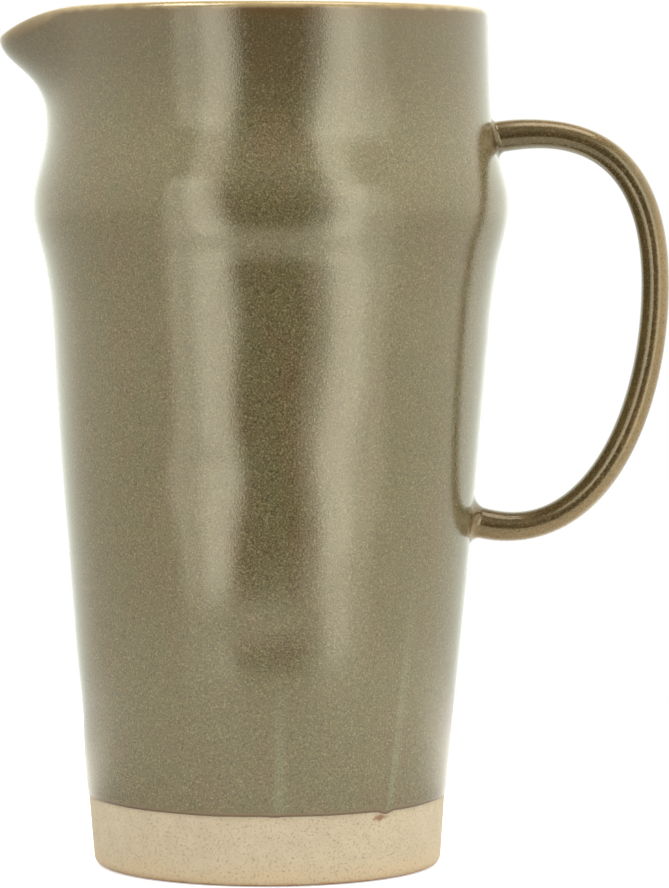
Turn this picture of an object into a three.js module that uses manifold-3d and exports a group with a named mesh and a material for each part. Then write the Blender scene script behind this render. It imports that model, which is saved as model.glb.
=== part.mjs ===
// A stoneware jug: a thrown pot with a rolled belt, a pulled spout and soft finger dents, a slim loop handle
// luted on with slip, and glaze coats that stop short of a bare clay foot.
// Millimetres, +Z up. The origin is under the middle of the foot, the spout is at -X and the handle at +X.
import * as THREE from 'three';
import { mergeVertices } from 'three/addons/utils/BufferGeometryUtils.js';
import Module from 'manifold-3d';

// The pot's outside, glaze included
const HEIGHT = 218.2; // rim above the table
const FOOT_RADIUS = 44.7; // where the taper meets the table
const WAIST_RADIUS = 56.3; // top of the taper, under the belt
const TAPER_SWELL = 0.4; // taper proud of a straight line, halfway up
const RIM_RADIUS = 55.5; // collar at the rim
const COLLAR_HEIGHT = 49.8; // rim above the crest of the belt
const WAIST_DROP = 18.4; // top of the taper below the crest of the belt
const BELT_RISE = 4.1; // crest of the belt proud of the collar
const BELT_SPREAD = 9.2; // how far the belt reaches up and down from its crest
const FOOT_ROUND = 2.1; // rounding between the bare band and the underside
const BARE_BAND = 17.8; // unglazed clay above the table

// The pot's wall and floor, glaze included
const LIP = 3.8; // full-round lip
const FOOT_WALL = 5.4; // wall where it leaves the floor
const FLOOR = 6.5; // thickness of the floor
const INNER_ROUND = 9; // rounding between the floor and the wall

// The pulled spout
const SPOUT_REACH = 13.2; // tip beyond the round of the rim
const SPOUT_SPREAD = 15; // degrees to each side over which the wall is pulled out
const SPOUT_DROP = 6.8; // tip below the rim
const SPOUT_DIP = 11.8; // degrees to each side over which the rim dips
const SPOUT_DEPTH = 10.8; // how far down the wall the pull reaches

// The coats
const GLAZE = 0.4; // thickness of a coat
const COAT_GAP = 0.1; // coat clear of the clay that it lies on
const LIP_WRAP = 6; // outer coat carried over the lip and down inside
const FIT = 0.3; // clearance between pieces that meet

// The handle, glaze included
const ROD_THICKNESS = 7.1; // in the plane of the loop
const ROD_WIDTH = 8.6; // across the loop
const HANDLE_REACH = 42.4; // middle of the rod out from the waist at the crown
const UPPER_ROOT_DROP = 32.6; // upper root below the rim
const ROOT_SPAN = 98; // lower root below the upper one
const CROWN_DROP = 37.6; // crown of the loop below the upper root
const UPPER_ARM = 32.5; // pull of the curve out of the upper root
const UPPER_LIFT = 7.4; // and its rise
const CROWN_UP = 28; // pull of the curve above the crown
const CROWN_DOWN = 36; // and below it
const LOWER_ARM = 32.5; // pull of the curve out of the lower root
const LOWER_SAG = 14; // and its fall

// The slip joints at the handle's roots
const UPPER_FLARE = 2.9; // slip spread over the wall around the upper root
const UPPER_SHIFT = -0.7; // that spread moved up the wall
const UPPER_RUN = 3; // slip run out along the rod
const UPPER_LEAN = -0.5; // run-out longer by this above the rod, and shorter below it
const LOWER_FLARE = 3.4; // slip spread over the wall around the lower root
const LOWER_SHIFT = 0.3; // that spread moved up the wall
const LOWER_RUN = 3.2; // slip run out along the rod
const LOWER_LEAN = 0.5; // run-out longer by this above the rod, and shorter below it
const JOINT_EDGE = 0.4; // edge of the slip proud of the rod
const ROOT_SINK = 4; // start of the rod's curve behind the wall's surface

// Soft dents left by fingers: degrees round from +X, height, reach round and up the wall, and depth, which is
// below 0 for a swelling
const DENTS = [
  { turn: 0, height: 155, round: 42, up: 38, depth: -1 },
  { turn: 180, height: 145, round: 35, up: 20, depth: 0.6 },
  { turn: 298, height: 215, round: 14, up: 10, depth: 0.6 },
  { turn: 298, height: 187, round: 14, up: 19, depth: 1.2 },
  { turn: 248, height: 200, round: 13, up: 10, depth: 0.8 },
  { turn: 216, height: 196, round: 14, up: 14, depth: 0.8 },
  { turn: 272, height: 155, round: 22, up: 8.5, depth: 0.75 },
  { turn: 248, height: 177, round: 9, up: 7, depth: -0.6 },
  { turn: 292, height: 173, round: 9, up: 6, depth: -0.4 },
  { turn: 251, height: 101, round: 11, up: 6, depth: 1.1 },
  { turn: 296, height: 102, round: 12, up: 7.5, depth: 1.3 },
  { turn: 252, height: 73, round: 11, up: 9, depth: 0.6 },
  { turn: 296, height: 74, round: 12, up: 9, depth: 0.5 },
  { turn: 214, height: 70, round: 18, up: 18, depth: 0.5 },
  { turn: 326, height: 66, round: 18, up: 18, depth: 0.5 },
  { turn: 178, height: 41, round: 20, up: 6, depth: 0.5 },
  { turn: 180, height: 8, round: 35, up: 20, depth: -0.5 },
  { turn: 0, height: 30, round: 30, up: 22, depth: 0.8 },
  { turn: 28, height: 120, round: 18, up: 20, depth: 0.7 },
  { turn: 66, height: 76, round: 18, up: 16, depth: 0.8 },
  { turn: 104, height: 132, round: 17, up: 18, depth: 0.8 },
  { turn: 140, height: 88, round: 18, up: 18, depth: 0.7 },
  { turn: 118, height: 42, round: 18, up: 14, depth: 0.6 },
  { turn: 144, height: 196, round: 14, up: 14, depth: 0.8 },
];

// How finely the solids are faceted
const AROUND = 40; // facets round the pot
const OUTSIDE_RINGS = { taper: 8, belt: 6, collar: 5 };
const INSIDE_RINGS = { taper: 4, belt: 5, collar: 5 };
const ARC_STEPS = 4; // facets in a rounded edge
const ROD_SIDES = 12;
const ROD_STEPS = 28;
const JOINT_SIDES = 20;

const crestHeight = HEIGHT - COLLAR_HEIGHT;
const waistHeight = crestHeight - WAIST_DROP;
const lipHeight = HEIGHT - LIP / 2; // where the round of the lip begins
const wrapHeight = HEIGHT - LIP_WRAP; // edge of the outer coat inside the lip
const clayDepth = GLAZE + COAT_GAP; // the clay lies this far under the finished surface

const wasm = await Module();
wasm.setup();

const bell = (x) => Math.exp(-0.5 * x * x);
const polar = (x, y, radius, angle) =>
  new THREE.Vector2(x + radius * Math.cos(angle), y + radius * Math.sin(angle));

// Values from first to last in equal steps, both ends included.
function spaced(first, last, steps) {
  return Array.from({ length: steps + 1 }, (_, i) => THREE.MathUtils.lerp(first, last, i / steps));
}

// The turned form, before it is pulled and dented

function outsideRadius(z) {
  const belt = BELT_RISE * bell((z - crestHeight) / BELT_SPREAD);
  if (z > waistHeight) {
    return belt + THREE.MathUtils.mapLinear(z, waistHeight, HEIGHT, WAIST_RADIUS, RIM_RADIUS);
  }
  const up = z / waistHeight;
  return belt + THREE.MathUtils.lerp(FOOT_RADIUS, WAIST_RADIUS, up) + 4 * TAPER_SWELL * up * (1 - up);
}

function insideRadius(z) {
  return outsideRadius(z) - THREE.MathUtils.mapLinear(z, 0, lipHeight, FOOT_WALL, LIP);
}

// Heights of the rings on the wall from one height up to another on the collar.
function wallHeights(bottom, top, rings) {
  const beltTop = 2 * crestHeight - waistHeight;
  return [
    ...spaced(bottom, waistHeight, rings.taper),
    ...spaced(waistHeight, beltTop, rings.belt).slice(1),
    ...spaced(beltTop, top, rings.collar).slice(1),
  ];
}

// Up the outside of the wall from the edge of the glaze to the lip.
function outsideWall(depth) {
  const heights = wallHeights(BARE_BAND, lipHeight, OUTSIDE_RINGS);
  return heights.map((z) => new THREE.Vector2(outsideRadius(z) - depth, z));
}

// Up the middle of the wall between two heights.
function midWall(bottom, top) {
  const heights = wallHeights(bottom, top, INSIDE_RINGS);
  return heights.map((z) => new THREE.Vector2((outsideRadius(z) + insideRadius(z)) / 2, z));
}

// Over the lip from the outside to the inside, without its two ends.
function lipRound(depth) {
  return spaced(0, Math.PI, ARC_STEPS)
    .slice(1, -1)
    .map((angle) => polar(RIM_RADIUS - LIP / 2, lipHeight, LIP / 2 - depth, angle));
}

// Down the inside of the wall from the lip to the floor's rounding.
function insideWall(depth) {
  const heights = wallHeights(FLOOR + INNER_ROUND, lipHeight, INSIDE_RINGS).reverse();
  return heights.map((z) => new THREE.Vector2(insideRadius(z) + depth, z));
}

// From the wall round to the floor and in to the axis.
function insideFloor(depth) {
  const centre = FLOOR + INNER_ROUND;
  const arc = spaced(0, -Math.PI / 2, ARC_STEPS)
    .slice(1)
    .map((angle) => polar(insideRadius(centre) - INNER_ROUND, centre, INNER_ROUND + depth, angle));
  return [...arc, new THREE.Vector2(0, FLOOR - depth)];
}

// From the axis along the underside and round the edge of the foot.
function underside(depth) {
  const radius = outsideRadius(FOOT_ROUND) - depth;
  const arc = spaced(-Math.PI / 2, 0, ARC_STEPS).map((angle) =>
    polar(radius - FOOT_ROUND, FOOT_ROUND, FOOT_ROUND, angle),
  );
  return [new THREE.Vector2(0, 0), ...arc];
}

// Pulling and denting

// Where a point of the turned form ends up: the spout draws the wall out and the rim down, and each dent
// presses in.
function worked(point) {
  const turn = THREE.MathUtils.radToDeg(Math.atan2(point.y, point.x));
  const away = (from) => THREE.MathUtils.euclideanModulo(turn - from + 180, 360) - 180;
  const pull = bell((HEIGHT - point.z) / SPOUT_DEPTH);
  let push = SPOUT_REACH * pull * bell(away(180) / SPOUT_SPREAD);
  for (const dent of DENTS) {
    const round = THREE.MathUtils.degToRad(away(dent.turn)) * outsideRadius(dent.height);
    push -= dent.depth * bell(round / dent.round) * bell((point.z - dent.height) / dent.up);
  }
  const share = 1 + push / outsideRadius(point.z);
  const drop = SPOUT_DROP * pull * bell(away(180) / SPOUT_DIP);
  return new THREE.Vector3(point.x * share, point.y * share, point.z - drop);
}

// Turns an outline into a form round Z and works it by hand.
function thrown(outline) {
  const geometry = new THREE.LatheGeometry(outline, AROUND).rotateX(Math.PI / 2);
  const places = geometry.getAttribute('position');
  const point = new THREE.Vector3();
  for (let i = 0; i < places.count; i++) {
    point.fromBufferAttribute(places, i);
    places.setXYZ(i, ...worked(point).toArray());
  }
  return geometry;
}

// Solids for cutting

function solidOf(geometry) {
  const bare = geometry.clone();
  bare.deleteAttribute('normal');
  bare.deleteAttribute('uv');
  const merged = mergeVertices(bare);
  return new wasm.Manifold(
    new wasm.Mesh({
      numProp: 3,
      vertProperties: merged.getAttribute('position').array,
      triVerts: new Uint32Array(merged.index.array),
    }),
  );
}

function geometryOf(solid) {
  const mesh = solid.getMesh();
  return new THREE.BufferGeometry()
    .setAttribute('position', new THREE.BufferAttribute(mesh.vertProperties, 3))
    .setIndex(new THREE.BufferAttribute(mesh.triVerts, 1));
}

// A solid through a stack of loops with the same number of points, flat at both ends.
function loft(loops) {
  const sides = loops[0].length;
  const centre = (loop) => loop.reduce((sum, p) => sum.add(p), new THREE.Vector3()).divideScalar(sides);
  const points = [...loops.flat(), centre(loops[0]), centre(loops.at(-1))];
  const faces = [];
  for (let side = 0; side < sides; side++) {
    const next = (side + 1) % sides;
    faces.push(points.length - 2, next, side);
    for (let row = 0; row < loops.length - 1; row++) {
      const [a, b] = [row * sides + side, row * sides + next];
      faces.push(a, b, b + sides, a, b + sides, a + sides);
    }
    const last = (loops.length - 1) * sides;
    faces.push(points.length - 1, last + side, last + next);
  }
  return new THREE.BufferGeometry().setFromPoints(points).setIndex(faces);
}

// The pot

// All of the pot at a depth under its finished surface.
function potAt(depth) {
  const outline = [
    ...underside(depth),
    ...outsideWall(depth),
    ...lipRound(depth),
    ...insideWall(depth),
    ...insideFloor(depth),
  ];
  return thrown(outline);
}

// What of the coat lies inside an outline that is turned and worked like the pot.
function coatWithin(outline) {
  return solidOf(potAt(0)).subtract(solidOf(potAt(GLAZE))).intersect(solidOf(thrown(outline)));
}

// The outer coat goes from the bare band up, over the lip and a little way down inside. It is open where the
// handle is luted on.
function outerGlaze() {
  const clear = LIP; // the outline passes this far outside the coat
  const outline = [
    ...outsideWall(-clear),
    new THREE.Vector2(RIM_RADIUS + clear, HEIGHT + clear),
    new THREE.Vector2(RIM_RADIUS - LIP - clear, HEIGHT + clear),
    new THREE.Vector2(insideRadius(wrapHeight) - clear, wrapHeight),
    ...midWall(BARE_BAND, wrapHeight).reverse(),
  ];
  const opening = (root) =>
    solidOf(loft([jointFoot(root, FIT, -ROOT_SINK), jointFoot(root, FIT, ROOT_SINK)]));
  const whole = coatWithin([...outline, outline[0]]);
  return geometryOf(roots.reduce((coat, root) => coat.subtract(opening(root)), whole));
}

// The inner coat lines the pot from the floor up to the edge of the outer coat.
function innerGlaze() {
  const [bottom, top] = [FLOOR / 2, wrapHeight - FIT];
  const outline = [
    new THREE.Vector2(0, bottom),
    ...midWall(bottom, top),
    new THREE.Vector2(insideRadius(top) - LIP, top),
    new THREE.Vector2(0, top),
  ];
  return geometryOf(coatWithin(outline));
}

// What the clay takes up, filled in and grown by the clearance, for cutting what meets the wall.
function clayEnvelope() {
  const depth = clayDepth - FIT;
  const outline = [...underside(depth), ...outsideWall(depth), new THREE.Vector2(0, lipHeight)];
  return solidOf(thrown(outline));
}

// The handle

// The point on the finished wall in line with a point, along a direction that leaves the wall.
function ontoWall(point, along) {
  const found = point.clone();
  for (let pass = 0; pass < 6; pass++) {
    const turned = new THREE.Vector3(outsideRadius(found.z), 0, found.z);
    turned.applyAxisAngle(new THREE.Vector3(0, 0, 1), Math.atan2(found.y, found.x));
    const wall = worked(turned);
    const away = Math.hypot(wall.x, wall.y) - Math.hypot(found.x, found.y);
    found.addScaledVector(along, away / along.x);
  }
  return found;
}

const across = new THREE.Vector3(0, 1, 0);
const crown = new THREE.Vector3(WAIST_RADIUS + HANDLE_REACH, 0, HEIGHT - UPPER_ROOT_DROP - CROWN_DROP);

// A root of the handle: the way the rod leaves the wall, its curve from behind the wall to the crown, and the
// slip round it.
function rootAt(height, arm, lift, crownPull, slip) {
  const pull = new THREE.Vector3(arm, 0, lift);
  const along = pull.clone().normalize();
  const place = ontoWall(new THREE.Vector3(outsideRadius(height), 0, height), new THREE.Vector3(1, 0, 0));
  const start = place.addScaledVector(along, -ROOT_SINK);
  const overCrown = crown.clone().setZ(crown.z + crownPull);
  const curve = new THREE.CubicBezierCurve3(start, start.clone().add(pull), overCrown, crown);
  return { along, curve, slip };
}

const upperHeight = HEIGHT - UPPER_ROOT_DROP;
const upperSlip = { flare: UPPER_FLARE, shift: UPPER_SHIFT, run: UPPER_RUN, lean: UPPER_LEAN };
const lowerSlip = { flare: LOWER_FLARE, shift: LOWER_SHIFT, run: LOWER_RUN, lean: LOWER_LEAN };
const roots = [
  rootAt(upperHeight, UPPER_ARM, UPPER_LIFT, CROWN_UP, upperSlip),
  rootAt(upperHeight - ROOT_SPAN, LOWER_ARM, -LOWER_SAG, -CROWN_DOWN, lowerSlip),
];

// The middle of the rod, from the upper root over the crown to the lower root.
function handlePath() {
  const [upper, lower] = roots.map((root) => root.curve);
  const path = new THREE.CurvePath();
  path.add(upper);
  path.add(new THREE.CubicBezierCurve3(lower.v3, lower.v2, lower.v1, lower.v0));
  return path;
}

// The oval section at a depth under the finished surface.
function rodOval(depth, Form) {
  const [wide, thick] = [ROD_WIDTH / 2 - depth, ROD_THICKNESS / 2 - depth];
  const points = spaced(0, 2 * Math.PI, ROD_SIDES)
    .slice(0, -1)
    .map((angle) => new THREE.Vector2(wide * Math.cos(angle), thick * Math.sin(angle)));
  return new Form(points);
}

function rod(depth, hollowDepth) {
  const section = rodOval(depth, THREE.Shape);
  if (hollowDepth) section.holes.push(rodOval(hollowDepth, THREE.Path));
  const options = { steps: ROD_STEPS, extrudePath: handlePath(), bevelEnabled: false };
  return solidOf(new THREE.ExtrudeGeometry(section, options));
}

const jointAngles = spaced(0, 2 * Math.PI, JOINT_SIDES).slice(0, -1);

// A point off the rod's surface by a margin, at an angle round the rod and a distance out from the wall. The
// curve leaves its start at three times its first pull.
function rodPoint(root, angle, margin, out) {
  const { curve } = root;
  const share = (ROOT_SINK + out) / (3 * curve.v0.distanceTo(curve.v1));
  const up = curve.getTangent(share).cross(across);
  return curve
    .getPoint(share)
    .addScaledVector(across, (ROD_WIDTH / 2 + margin) * Math.cos(angle))
    .addScaledVector(up, (ROD_THICKNESS / 2 + margin) * Math.sin(angle));
}

// The edge of the slip on the wall, grown by a clearance and moved along the root.
function jointFoot(root, grow, shift) {
  return jointAngles.map((angle) => {
    const edge = rodPoint(root, angle, root.slip.flare + grow, 0);
    edge.z += root.slip.shift;
    return ontoWall(edge, root.along).addScaledVector(root.along, shift);
  });
}

// Where the slip's run-out begins and ends beside the rod at an angle round it, out from the root.
function runOut(root, angle) {
  const edge = rodPoint(root, angle, JOINT_EDGE, 0);
  const wall = ontoWall(edge, root.along).sub(edge).dot(root.along);
  return { wall, end: wall + root.slip.run + root.slip.lean * Math.sin(angle) };
}

// The fillet of slip round a root: from the wall it sweeps in and out to run along the rod.
function jointFillet(root) {
  const foot = jointFoot(root, 0, 0);
  const ring = (sweep) =>
    jointAngles.map((angle, i) => {
      const { wall, end } = runOut(root, angle);
      const spread = foot[i].clone().sub(rodPoint(root, angle, JOINT_EDGE, wall));
      const out = THREE.MathUtils.lerp(end, wall, Math.cos(sweep));
      return rodPoint(root, angle, JOINT_EDGE, out).addScaledVector(spread, 1 - Math.sin(sweep));
    });
  const rings = spaced(0, Math.PI / 2, ARC_STEPS).map(ring);
  return solidOf(loft([jointFoot(root, 0, -ROOT_SINK), ...rings]));
}

// The slip keeps clear of the rod that it holds and of the wall that it sits on.
function handleJoint(root) {
  return geometryOf(jointFillet(root).subtract(rod(clayDepth - FIT)).subtract(envelope));
}

// The clay rod, ending just clear of the wall at both roots.
function handleCore() {
  return geometryOf(rod(clayDepth).subtract(envelope));
}

// The coat on the rod, from the edge of one slip joint to the edge of the other.
function handleGlaze() {
  const ring = (root, share) =>
    jointAngles.map((angle) => {
      const out = THREE.MathUtils.lerp(-ROOT_SINK, runOut(root, angle).end + FIT, share);
      return rodPoint(root, angle, JOINT_EDGE, out);
    });
  const trim = (root) => {
    const rings = spaced(0, 1, ARC_STEPS).map((share) => ring(root, share));
    const behind = rings[0].map((p) => p.clone().addScaledVector(root.along, -ROOT_SINK));
    return solidOf(loft([behind, ...rings]));
  };
  return geometryOf(roots.reduce((coat, root) => coat.subtract(trim(root)), rod(0, GLAZE)));
}

// The finished jug

const bareClay = new THREE.MeshStandardMaterial({ color: '#c9b28f', roughness: 0.85, metalness: 0 });
const oliveGlaze = new THREE.MeshStandardMaterial({ color: '#6d614b', roughness: 0.32, metalness: 0 });
const brownGlaze = new THREE.MeshStandardMaterial({ color: '#66543a', roughness: 0.28, metalness: 0 });

function piece(name, geometry, material) {
  const mesh = new THREE.Mesh(geometry, material);
  mesh.name = name;
  return mesh;
}

const envelope = clayEnvelope();
const [upperRoot, lowerRoot] = roots;

const pot = new THREE.Group();
pot.add(piece('clay_body', potAt(clayDepth), bareClay));
pot.add(piece('outer_glaze', outerGlaze(), oliveGlaze));
pot.add(piece('inner_glaze', innerGlaze(), oliveGlaze));

const loop = new THREE.Group();
loop.add(piece('handle', handleCore(), bareClay));
loop.add(piece('upper_handle_joint', handleJoint(upperRoot), oliveGlaze));
loop.add(piece('lower_handle_joint', handleJoint(lowerRoot), oliveGlaze));
loop.add(piece('handle_glaze', handleGlaze(), brownGlaze));

const jug = new THREE.Group();
jug.add(pot, loop);

export default jug;
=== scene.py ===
"""A stoneware jug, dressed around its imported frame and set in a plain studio.

Metres, +Z up. The spout is at -X, the handle at +X, and the camera looks along +Y.
"""

import logging
import math
from abc import ABC, abstractmethod
from collections.abc import Mapping
from dataclasses import dataclass, field
from enum import Enum
from typing import Any, NamedTuple

import bmesh
import bpy
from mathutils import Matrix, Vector


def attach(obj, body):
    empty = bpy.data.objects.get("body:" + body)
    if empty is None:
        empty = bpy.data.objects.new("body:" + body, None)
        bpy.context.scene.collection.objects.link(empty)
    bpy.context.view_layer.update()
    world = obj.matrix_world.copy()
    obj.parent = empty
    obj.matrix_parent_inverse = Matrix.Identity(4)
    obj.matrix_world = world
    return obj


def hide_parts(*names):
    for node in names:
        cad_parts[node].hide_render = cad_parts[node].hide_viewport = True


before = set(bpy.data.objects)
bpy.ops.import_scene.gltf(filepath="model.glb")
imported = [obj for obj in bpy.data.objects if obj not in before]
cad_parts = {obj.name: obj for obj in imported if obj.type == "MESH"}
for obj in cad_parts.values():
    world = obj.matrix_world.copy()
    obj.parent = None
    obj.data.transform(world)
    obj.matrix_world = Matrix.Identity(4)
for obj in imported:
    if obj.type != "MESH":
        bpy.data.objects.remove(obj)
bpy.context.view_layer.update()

LOG = logging.getLogger("jug")
MM = 0.001
WHITE = (1.0, 1.0, 1.0)
BODY = "root"
# Numbers that a coat's mesh keeps at its points, for its glaze to read
THROWN_HEIGHT = "thrown_height"
OUTWARD = "outward"
# Points closer than this are one
WELD = 0.001 * MM
# A bell is as good as 0 from here on
BELL_END = 4.5
# Steps in which a point is slid onto the wall
SLIDES = 6
# Depth of the finest grain in a finish
GRAIN_DEPTH = 0.06 * MM
# Where a spot starts and where it is full, in its radii
SPOT_EDGE = (1.3, 0.6)

Colour = tuple[float, float, float]
Span = tuple[float, float]
Outline = list[Vector]
Curve = tuple[Vector, Vector, Vector, Vector]
Socket = bpy.types.NodeSocket
Value = float | tuple[float, ...] | Socket


class Node(Enum):
    """The frame's solids, each of which a piece stands for."""

    CLAY = "clay_body"
    OUTER_GLAZE = "outer_glaze"
    INNER_GLAZE = "inner_glaze"
    HANDLE = "handle"
    UPPER_JOINT = "upper_handle_joint"
    LOWER_JOINT = "lower_handle_joint"
    HANDLE_GLAZE = "handle_glaze"


class Slot(Enum):
    """The record's material slots."""

    CLAY = "clay"
    OLIVE = "olive_glaze"
    LINER = "liner_glaze"
    SLIP = "slip"
    BROWN = "brown_glaze"


def bell(x: float) -> float:
    """A smooth hump, 1 at 0 and about 0.6 at 1 to either side."""
    return math.exp(-0.5 * x * x)


def lerp(first: float, last: float, share: float) -> float:
    """The value that lies a share of the way from first to last."""
    return first + (last - first) * share


def spaced(first: float, last: float, steps: int) -> list[float]:
    """Values from first to last in equal steps, both ends included."""
    return [lerp(first, last, i / steps) for i in range(steps + 1)]


def stepped(first: float, last: float, step: float) -> list[float]:
    """Values from first up to last, about one step apart."""
    return spaced(first, last, max(1, round((last - first) / step)))


def away(turn: float, middle: float) -> float:
    """Degrees from middle to turn, the short way round."""
    return (turn - middle + 180) % 360 - 180


def arc(middle: Vector, radius: float, first: float, last: float, steps: int) -> Outline:
    """Points on an arc in the XZ plane, both ends included, at angles in degrees from +X towards +Z."""
    angles = (math.radians(angle) for angle in spaced(first, last, steps))
    return [middle + radius * Vector((math.cos(a), 0, math.sin(a))) for a in angles]


def on_curve(curve: Curve, share: float) -> Vector:
    """Follows a cubic curve.

    Args:
        curve: Its four points.
        share: How far along it to go.

    Returns:
        The point there.
    """
    left = 1 - share
    weights = (left**3, 3 * left**2 * share, 3 * left * share**2, share**3)
    return sum((weight * point for weight, point in zip(weights, curve)), Vector())


def heading(curve: Curve, share: float) -> Vector:
    """Finds which way a cubic curve goes.

    Args:
        curve: Its four points.
        share: How far along it to go.

    Returns:
        The way on from there, of length 1.
    """
    left = 1 - share
    weights = (left**2, 2 * left * share, share**2)
    legs = (b - a for a, b in zip(curve, curve[1:]))
    return sum((weight * leg for weight, leg in zip(weights, legs)), Vector()).normalized()


@dataclass(frozen=True)
class Dent:
    """A soft hollow that a hand left in the wall.

    Attributes:
        turn: Degrees round from +X.
        height: Height of its middle.
        around: Reach round the wall.
        up: Reach up and down the wall.
        depth: How far it presses in. Below 0 it swells out.
    """

    turn: float
    height: float
    around: float
    up: float
    depth: float


@dataclass(frozen=True)
class Spout:
    """The stretch of rim that is pulled out and down to pour.

    Attributes:
        turn: Degrees round from +X.
        reach: Tip beyond the round of the rim.
        spread: Degrees to each side over which the wall is pulled out.
        drop: Tip below the rim.
        dip: Degrees to each side over which the rim dips.
        depth: How far down the wall the pull reaches.
    """

    turn: float = 180
    reach: float = 13.2 * MM
    spread: float = 15
    drop: float = 6.4 * MM
    dip: float = 11.8
    depth: float = 10.8 * MM


@dataclass(frozen=True)
class GlazeRun:
    """A streak where the glaze ran down the wall and set.

    Attributes:
        turn: Degrees round from +X.
        top: Height where the streak starts.
        width: Its reach to each side.
        thickness: How far it stands proud.
        drop: How far it carries the edge of the glaze down over the bare clay.
        lean: How far it leans towards a larger turn for each step up.
    """

    turn: float
    top: float
    width: float
    thickness: float
    drop: float
    lean: float = 0.0


# Each row is a dent's turn, and then its height, reach round, reach up and depth in millimetres.
DENTS = tuple(
    Dent(turn, *(size * MM for size in sizes))
    for turn, *sizes in (
        (0, 155, 42, 38, -1.0),
        (180, 145, 35, 20, 0.6),
        (298, 215, 14, 10, 0.4),
        (299, 187, 15.5, 16, 0.6),
        (294, 188, 9, 8.5, 0.8),
        (247, 200, 14, 10, 0.8),
        (216, 196, 14, 14, 0.8),
        (272, 156, 22, 8, 0.78),
        (301, 161, 10, 11, 0.55),
        (272, 169, 16, 4.5, 0.28),
        (248, 177, 9, 7, -0.8),
        (292, 173, 9, 6, -0.2),
        (288, 151, 8, 6, 0.25),
        (257, 140, 6.5, 9, 0.2),
        (288, 125, 8, 8, 0.3),
        (254, 101, 11, 7.5, 1.0),
        (296, 105, 12.5, 10.5, 1.3),
        (252, 73, 11, 9, -0.3),
        (296, 74, 12, 9, 0.4),
        (270, 62, 9, 5, 0.34),
        (214, 70, 18, 18, 0.5),
        (326, 66, 18, 18, 0.5),
        (178, 41, 20, 6, 0.5),
        (180, 8, 35, 20, -0.5),
        (0, 30, 30, 22, 0.8),
        (28, 120, 18, 20, 0.7),
        (66, 76, 18, 16, 0.8),
        (104, 132, 17, 18, 0.8),
        (140, 88, 18, 18, 0.7),
        (118, 42, 18, 14, 0.6),
        (144, 196, 14, 14, 0.8),
    )
)
RUNS = (
    GlazeRun(310.3, 84 * MM, 1.3 * MM, 0.16 * MM, 0.7 * MM, 0.085),
    GlazeRun(272.5, 60 * MM, 1.4 * MM, 0.06 * MM, 0.2 * MM),
)


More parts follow.
